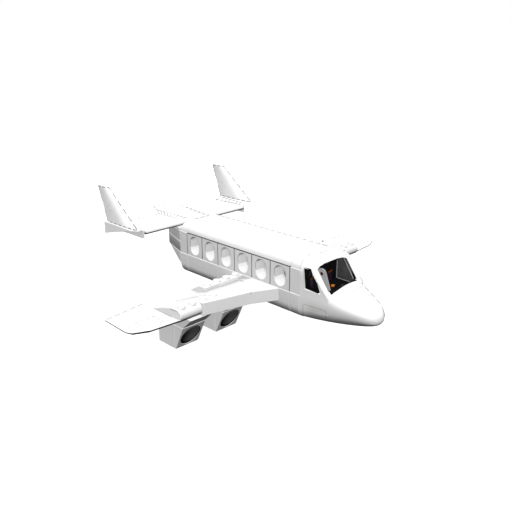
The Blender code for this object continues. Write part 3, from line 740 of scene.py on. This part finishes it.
def add_outlines():
    """The fine lines along the edges of the wings, the tail, the roof and the nose."""
    bm = bmesh.new()
    up = Vector((0.0, 0.0, 1.0))
    for name, node in NODES.items():
        if name.startswith(("wing_tip", "stabiliser")):
            add_rims(bm, node, up, 0.9, 25, rear_only=True)
        elif name.startswith("tail_block"):
            add_rims(bm, node, up, 0.9, 25)
        elif name.startswith(("fin_port", "fin_starboard")):
            add_rims(bm, node, camera_axes()[2], 0.1, 40)
        elif name.startswith(("roof", "nose")):
            add_far_edges(bm, node)
    add_piece("edge_lines", bm, OUTLINE)


RIM_WIDTH = 0.46 * MM
RIM_HEIGHT = 0.24 * MM
RIM_SINK = 0.03 * MM
RIM_LIFT = 0.12 * MM
DASH_PITCH = 5.6 * MM
DASH_LENGTH = 3.6 * MM


def mirrored(vector):
    return Vector((vector.x, -vector.y, vector.z))


def add_surface_lines(name, finish, lines, width, both_sides=False):
    """Thin lines on the surface, each through pixels of the photograph, bent to the surface."""
    bm = bmesh.new()
    for pixels in lines:
        for first, last in zip(pixels, pixels[1:]):
            steps = max(1, round(math.dist(first, last) / LINE_STEP))
            spots = []
            for step in range(steps + 1):
                share = step / steps
                spots.append(seen_point([a + (b - a) * share for a, b in zip(first, last)]))
            for (start, up, ), (end, _, ) in zip(spots, spots[1:]):
                if start is None or end is None or (end - start).length > LINE_JUMP:
                    continue
                add_bar(bm, start, end, up, width, LINE_HEIGHT)
                if both_sides:
                    add_bar(bm, mirrored(start), mirrored(end), mirrored(up), width, LINE_HEIGHT)
    add_piece(name, bm, finish)


def add_surface_dots(name, finish, pixels, radius):
    bm = bmesh.new()
    for pixel in pixels:
        place, up = seen_point(pixel)
        if place is not None:
            add_dot(bm, place, up, radius, LINE_HEIGHT)
    add_piece(name, bm, finish)


LINE_STEP = 1.5
LINE_JUMP = 4.0 * MM
LINE_HEIGHT = 0.12 * MM

NOSE_SIDE_LINES = (
    ((303.4, 303.9), (325.4, 310.8), (326.1, 318.8)),
    ((302.8, 304.4), (303.4, 320.0)),
)
TOP_LINES = (
    ((353.0, 290.6), (364.4, 285.9)),
    ((365.8, 296.6), (372.5, 294.3)),
    ((346.2, 294.3), (350.0, 297.6)),
    ((320.0, 253.0), (330.0, 249.0)),
    ((320.0, 252.5), (327.4, 254.6)),
)


ROOF_SEAM = (
    ((301.6, 264.4), (302.1, 260.4)),
    ((303.4, 259.4), (304.8, 258.4)),
    ((308.0, 255.7), (311.2, 254.4)),
    ((313.2, 253.6), (316.0, 252.4)),
)


def add_panel_lines():
    add_surface_lines("panel_lines_side", LINE, NOSE_SIDE_LINES, 0.24 * MM, both_sides=True)
    add_surface_lines("panel_lines_top", LINE, TOP_LINES, 0.24 * MM)
    add_surface_lines("roof_seam_lines", TICK, ROOF_SEAM, 0.2 * MM)


# Window linings: a short tube that carries each window's opening on behind its panel

LINING_DEPTH = (12.05, 10.5)
LINING_THICK = 0.5


def capsule_points(middle, radius, low, high, steps=12):
    """A closed outline of two half circles around two heights, as pairs of X and Z."""
    spots = []
    for centre, start in ((high, 0.0), (low, math.pi)):
        for step in range(steps + 1):
            angle = start + math.pi * step / steps
            spots.append((middle + radius * math.cos(angle), centre + radius * math.sin(angle)))
    return spots


def add_linings():
    bm = bmesh.new()
    for n in range(round(BAND_LENGTH / WINDOW_PITCH)):
        middle = WINDOW_PITCH * (n + 0.5)
        for sign in (-1, 1):
            rings = []
            for radius, depth in ((0.0, 0), (0.0, 1), (LINING_THICK, 1), (LINING_THICK, 0)):
                outline = capsule_points(middle, ARCH_RADIUS + radius, BAND_TOP - ARCH_CENTRE, ARCH_CENTRE)
                level = sign * LINING_DEPTH[depth]
                rings.append([bm.verts.new(grid_point(x, level, z)) for x, z in outline])
            for ring, following in zip(rings, rings[1:] + rings[:1]):
                for k in range(len(ring)):
                    bm.faces.new((ring[k - 1], ring[k], following[k], following[k - 1]))
    add_piece("window_linings", bm, LINING)


# Intakes: a black cup in each recess, painted shade on the recess's wall, and a grey disc in it, nearer its
# inboard side

SHADE_CUP = ((0.0, -1.19), (7.36, -1.19), (7.36, 0.20), (7.12, 0.20), (7.12, -1.12), (0.0, -1.12))
DISC_PROFILE = ((0.0, -1.11), (6.35, -1.11), (6.35, -0.30), (6.10, -0.16), (3.40, -0.42), (0.0, -0.52))
DISC_SHIFT = 0.72
POD_MIDDLES = (36.0, 68.0)


def turned_mesh(profile, shift=0.0, steps=48):
    """A solid turned about Z from a profile of radius and height, in millimetres."""
    bm = bmesh.new()
    rings = []
    for step in range(steps):
        angle = 2 * math.pi * step / steps
        spots = [(r * math.cos(angle) + shift, r * math.sin(angle), z) for r, z in profile]
        rings.append([bm.verts.new(Vector(spot) * MM) for spot in spots])
    for ring, following in zip(rings, rings[1:] + rings[:1]):
        for n in range(len(profile) - 1):
            bm.faces.new((ring[n], ring[n + 1], following[n + 1], following[n]))
    bmesh.ops.remove_doubles(bm, verts=bm.verts, dist=0.0001 * MM)
    return bm


def add_intakes():
    normal = Vector((2.0, 0.0, -1.0)).normalized()
    for side, sign in (("starboard", -1), ("port", 1)):
        for place, middle in zip(("inner", "outer"), POD_MIDDLES):
            outboard = Vector((0.0, sign, 0.0))
            matrix = frame_matrix(grid_point(60.0, sign * middle, -24.0), outboard, normal)
            tail = f"{place}_{side}"
            # Painted shade: the black cup lines the recess's wall.
            cup = add_piece(f"intake_cup_{tail}", turned_mesh(SHADE_CUP), BLACK, matrix)
            disc_mesh = turned_mesh(DISC_PROFILE, -DISC_SHIFT)
            disc = add_piece(f"intake_disc_{tail}", disc_mesh, DISC, matrix)
            for piece in (cup, disc):
                smooth = piece.modifiers.new("smooth", "NODES")
                smooth.node_group = SMOOTHING


# Wing tips: the outline of a panel, a curved joint and small marks

TIP_PANEL = ((56.6, 103.0), (56.7, 91.0), (66.2, 91.8), (64.0, 103.8))
JOINT_LINES = (
    ((153.7, 308.5), (171.5, 317.0)),
    ((170.2, 309.2), (177.1, 311.5), (180.0, 315.8)),
    ((175.5, 300.9), (206.5, 295.1)),
)
STEP_LINES = (
    ((221.1, 287.0), (239.7, 280.2), (243.5, 281.4)),
    ((250.8, 292.8), (250.8, 294.4)),
    ((154.5, 228.2), (154.5, 229.8)),
    ((216.5, 212.8), (216.5, 214.2)),
)
TIP_DOTS = ((135.4, 323.6), (153.2, 316.9), (129.8, 326.4), (147.5, 318.5), (115.0, 322.5))


def add_tip_marks():
    bm = bmesh.new()
    up = Vector((0.0, 0.0, 1.0))
    for sign in (-1, 1):
        spots = [grid_point(x, sign * y, TIP_LEVEL) for x, y in TIP_PANEL]
        for start, end in zip(spots, spots[1:] + spots[:1]):
            add_bar(bm, start, end, up, 0.2 * MM, LINE_HEIGHT)
    add_piece("tip_panel_outlines", bm, LINE)
    add_surface_dots("tip_dots", TICK, TIP_DOTS, 0.28 * MM)
    add_surface_lines("tip_joint_lines", TICK, JOINT_LINES, 0.24 * MM)
    add_surface_lines("step_lines", TICK, STEP_LINES, 0.3 * MM)


# The tail: small dots on the fins and a ladder of dark strokes, painted shade of ribs, on the tail block and
# the port saddle

FIN_DOTS = ((108.8, 205.8), (110.9, 210.9), (222.5, 182.3), (224.3, 186.5))


def ladder(top, low, strokes, reach):
    """Strokes that lean down and aft from a top edge toward a lower line."""
    lines = []
    for n in range(strokes):
        share = (n + 0.5) / strokes
        start = [a + (b - a) * share for a, b in zip(*top)]
        end = [a + (b - a) * share for a, b in zip(*low)]
        lines.append((start, [a + (b - a) * reach for a, b in zip(start, end)]))
    return lines


def add_tail_marks():
    add_surface_dots("fin_dots", TICK, FIN_DOTS, 0.3 * MM)
    block_top, block_low = ((155.6, 209.4), (186.6, 217.9)), ((157.9, 213.4), (182.0, 219.4))
    saddle_top, saddle_low = ((217.9, 195.9), (242.8, 203.2)), ((216.0, 199.4), (240.5, 204.6))
    lines = ladder(block_top, block_low, 9, 0.9) + ladder(saddle_top, saddle_low, 7, 0.9)
    lines += [block_top, saddle_top, (block_low[0], (175.0, 218.0)), saddle_low]
    # Painted shade: dark strokes stand in for the shade of ribs.
    add_surface_lines("rib_shade_strokes", OUTLINE, lines, 0.34 * MM)


# The cockpit: painted highlights on the pane edges, wavy prints on the seats, the port seat's in darker
# colours of painted shade, a button and an arm with a lined hole

PRINT_FACE = 105.72
PANE_LINES = (
    ((110.9, 13.3, 16.6), (118.6, 13.3, 5.4)),
    ((105.9, 13.3, 14.0), (106.0, 13.3, 2.8)),
    ((106.0, 13.3, 2.7), (116.2, 13.3, 2.6)),
)


def wavy_line(y, low, high, swing, turns):
    """A zigzag of points up the face that carries the prints."""
    spots = []
    for n in range(turns + 1):
        side = swing if n % 2 else -swing
        spots.append(grid_point(PRINT_FACE, y + side, low + (high - low) * n / turns))
    return spots


def add_print(name, middle, wave_finish, top_finish):
    """An abstract print: four wavy lines under a slanted bar."""
    forward = Vector((1.0, 0.0, 0.0))
    bm = bmesh.new()
    for offset in (-1.5, -0.5, 0.5, 1.5):
        spots = wavy_line(middle + offset, 2.9, 7.6 + 0.3 * offset, 0.3, 6)
        for start, end in zip(spots, spots[1:]):
            add_bar(bm, start, end, forward, 0.24 * MM, 0.15 * MM)
    add_piece(f"{name}_waves", bm, wave_finish)
    bm = bmesh.new()
    start = grid_point(PRINT_FACE, middle - 1.9, 8.2)
    add_bar(bm, start, grid_point(PRINT_FACE, middle + 1.9, 8.9), forward, 0.8 * MM, 0.15 * MM)
    add_piece(f"{name}_bar", bm, top_finish)


def add_cockpit_details():
    bm = bmesh.new()
    # Painted highlight: light lines along the side windows' edges.
    for sign in (-1, 1):
        for start, end in PANE_LINES:
            start, end = (grid_point(x, sign * y, z) for x, y, z in (start, end))
            add_bar(bm, start, end, Vector((0.0, -sign, 0.0)), 0.24 * MM, 0.2 * MM)
    add_piece("pane_edge_highlights", bm, PALE)
    add_print("seat_print_starboard", -11.9, PURPLE, ORANGE)
    # The port seat's print takes the darker copies: painted shade.
    add_print("seat_print_port", 6.7, SHADED_PURPLE, SHADED_ORANGE)

    bm = bmesh.new()
    up = Vector((0.0, 0.0, 1.0))
    add_dot(bm, grid_point(112.9, 0.3, 2.9), up, 1.05 * MM, 0.8 * MM)
    add_piece("console_button", bm, ORANGE)
    bm = bmesh.new()
    add_dot(bm, grid_point(112.7, 1.7, 2.9), up, 0.8 * MM, 0.6 * MM)
    add_piece("console_button_green", bm, GREEN)
    bm = bmesh.new()
    add_bar(bm, grid_point(118.9, -9.0, 0.4), grid_point(119.4, -6.4, 0.4), up, 0.5 * MM, 0.8 * MM)
    add_piece("yellow_mark", bm, YELLOW)
    bm = bmesh.new()
    for start, end in ((3.0, 4.6), (5.0, 7.6)):
        add_bar(bm, grid_point(116.0, start, 2.2), grid_point(116.0, end, 2.2), up, 0.5 * MM, 0.5 * MM)
    add_piece("console_trim", bm, GREY_AND_SHADE)
    bm = bmesh.new()
    add_dot(bm, grid_point(111.8, -9.1, 13.0), Vector((0.0, -1.0, 0.0)), 1.08 * MM, 0.5 * MM)
    add_piece("arm_hole_liner", bm, WINE)


# Stage


def make_stage():
    bm = bmesh.new()
    bmesh.ops.create_circle(bm, cap_ends=True, segments=96, radius=30.0)
    mesh = bpy.data.meshes.new("floor")
    bm.to_mesh(mesh)
    bm.free()
    floor = bpy.data.objects.new("floor", mesh)
    bpy.context.scene.collection.objects.link(floor)
    graph = Graph("floor_finish")
    graph.colour(graph.mix(graph.noise(3.0), (0.90, 0.90, 0.90), (0.92, 0.92, 0.92)))
    graph.shader.inputs["Roughness"].default_value = 0.9
    graph.shader.inputs["Specular IOR Level"].default_value = 0.0
    graph.shader.inputs["Emission Color"].default_value = (1.0, 1.0, 1.0, 1.0)
    graph.shader.inputs["Emission Strength"].default_value = FLOOR_GLOW
    mesh.materials.append(graph.material)
    floor.visible_diffuse = False
    floor.visible_glossy = False


FLOOR_GLOW = 0.3
BACKGROUND = 1.0
SKY = 0.01
GROUND = 0.004
KEY_TOWARD = (0.299, -0.292, 0.598)
KEY_STRENGTH = 2.75
# Rings of soft fill lamps: how many, their elevation and the strength of each
FILL_RINGS = ((8, 10.0, 0.190), (4, 45.0, 0.315), (1, 90.0, 0.367))


def lamp_list():
    """Each lamp's name, strength, softness and the direction that its light comes from."""
    lamps = [("key", KEY_STRENGTH, 25.0, Vector(KEY_TOWARD))]
    for ring, (count, elevation, strength) in enumerate(FILL_RINGS):
        for n in range(count):
            turn, rise = 2 * math.pi * (n + 0.5) / count, math.radians(elevation)
            level = math.cos(rise)
            toward = Vector((level * math.cos(turn), level * math.sin(turn), math.sin(rise)))
            lamps.append((f"fill_{ring}_{n}", strength, 45.0, toward))
    return lamps


def make_light():
    """A dim dome and soft lamps without hard shadows, in front of a white background."""
    world = bpy.data.worlds.new("studio")
    world.use_nodes = True
    tree = world.node_tree
    node, link = tree.nodes.new, tree.links.new
    place, split = node("ShaderNodeTexCoord"), node("ShaderNodeSeparateXYZ")
    above = node("ShaderNodeMath")
    above.operation = "GREATER_THAN"
    above.inputs[1].default_value = 0.0
    level = node("ShaderNodeMapRange")
    level.inputs["To Min"].default_value = GROUND
    level.inputs["To Max"].default_value = SKY
    seen = node("ShaderNodeLightPath")
    strength = node("ShaderNodeMix")
    strength.inputs["B"].default_value = BACKGROUND
    link(place.outputs["Generated"], split.inputs[0])
    link(split.outputs["Z"], above.inputs[0])
    link(above.outputs[0], level.inputs["Value"])
    link(level.outputs["Result"], strength.inputs["A"])
    link(seen.outputs["Is Camera Ray"], strength.inputs["Factor"])
    link(strength.outputs["Result"], tree.nodes["Background"].inputs["Strength"])
    tree.nodes["Background"].inputs["Color"].default_value = (1.0, 1.0, 1.0, 1.0)
    world.cycles.max_bounces = 1
    bpy.context.scene.world = world
    for name, strength, softness, toward in lamp_list():
        data = bpy.data.lights.new(name, "SUN")
        data.energy = strength
        data.angle = math.radians(softness)
        data.use_shadow = False
        data.cycles.max_bounces = 0
        lamp = bpy.data.objects.new(name, data)
        lamp.rotation_mode = "QUATERNION"
        lamp.rotation_quaternion = toward.to_track_quat("Z", "Y")
        bpy.context.scene.collection.objects.link(lamp)
    bpy.context.scene.view_settings.view_transform = "Standard"


make_camera()
make_light()
make_stage()
dress_nodes()
soften_nodes()
add_panel_lines()
add_outlines()
add_linings()
add_intakes()
add_tip_marks()
add_tail_marks()
add_cockpit_details()
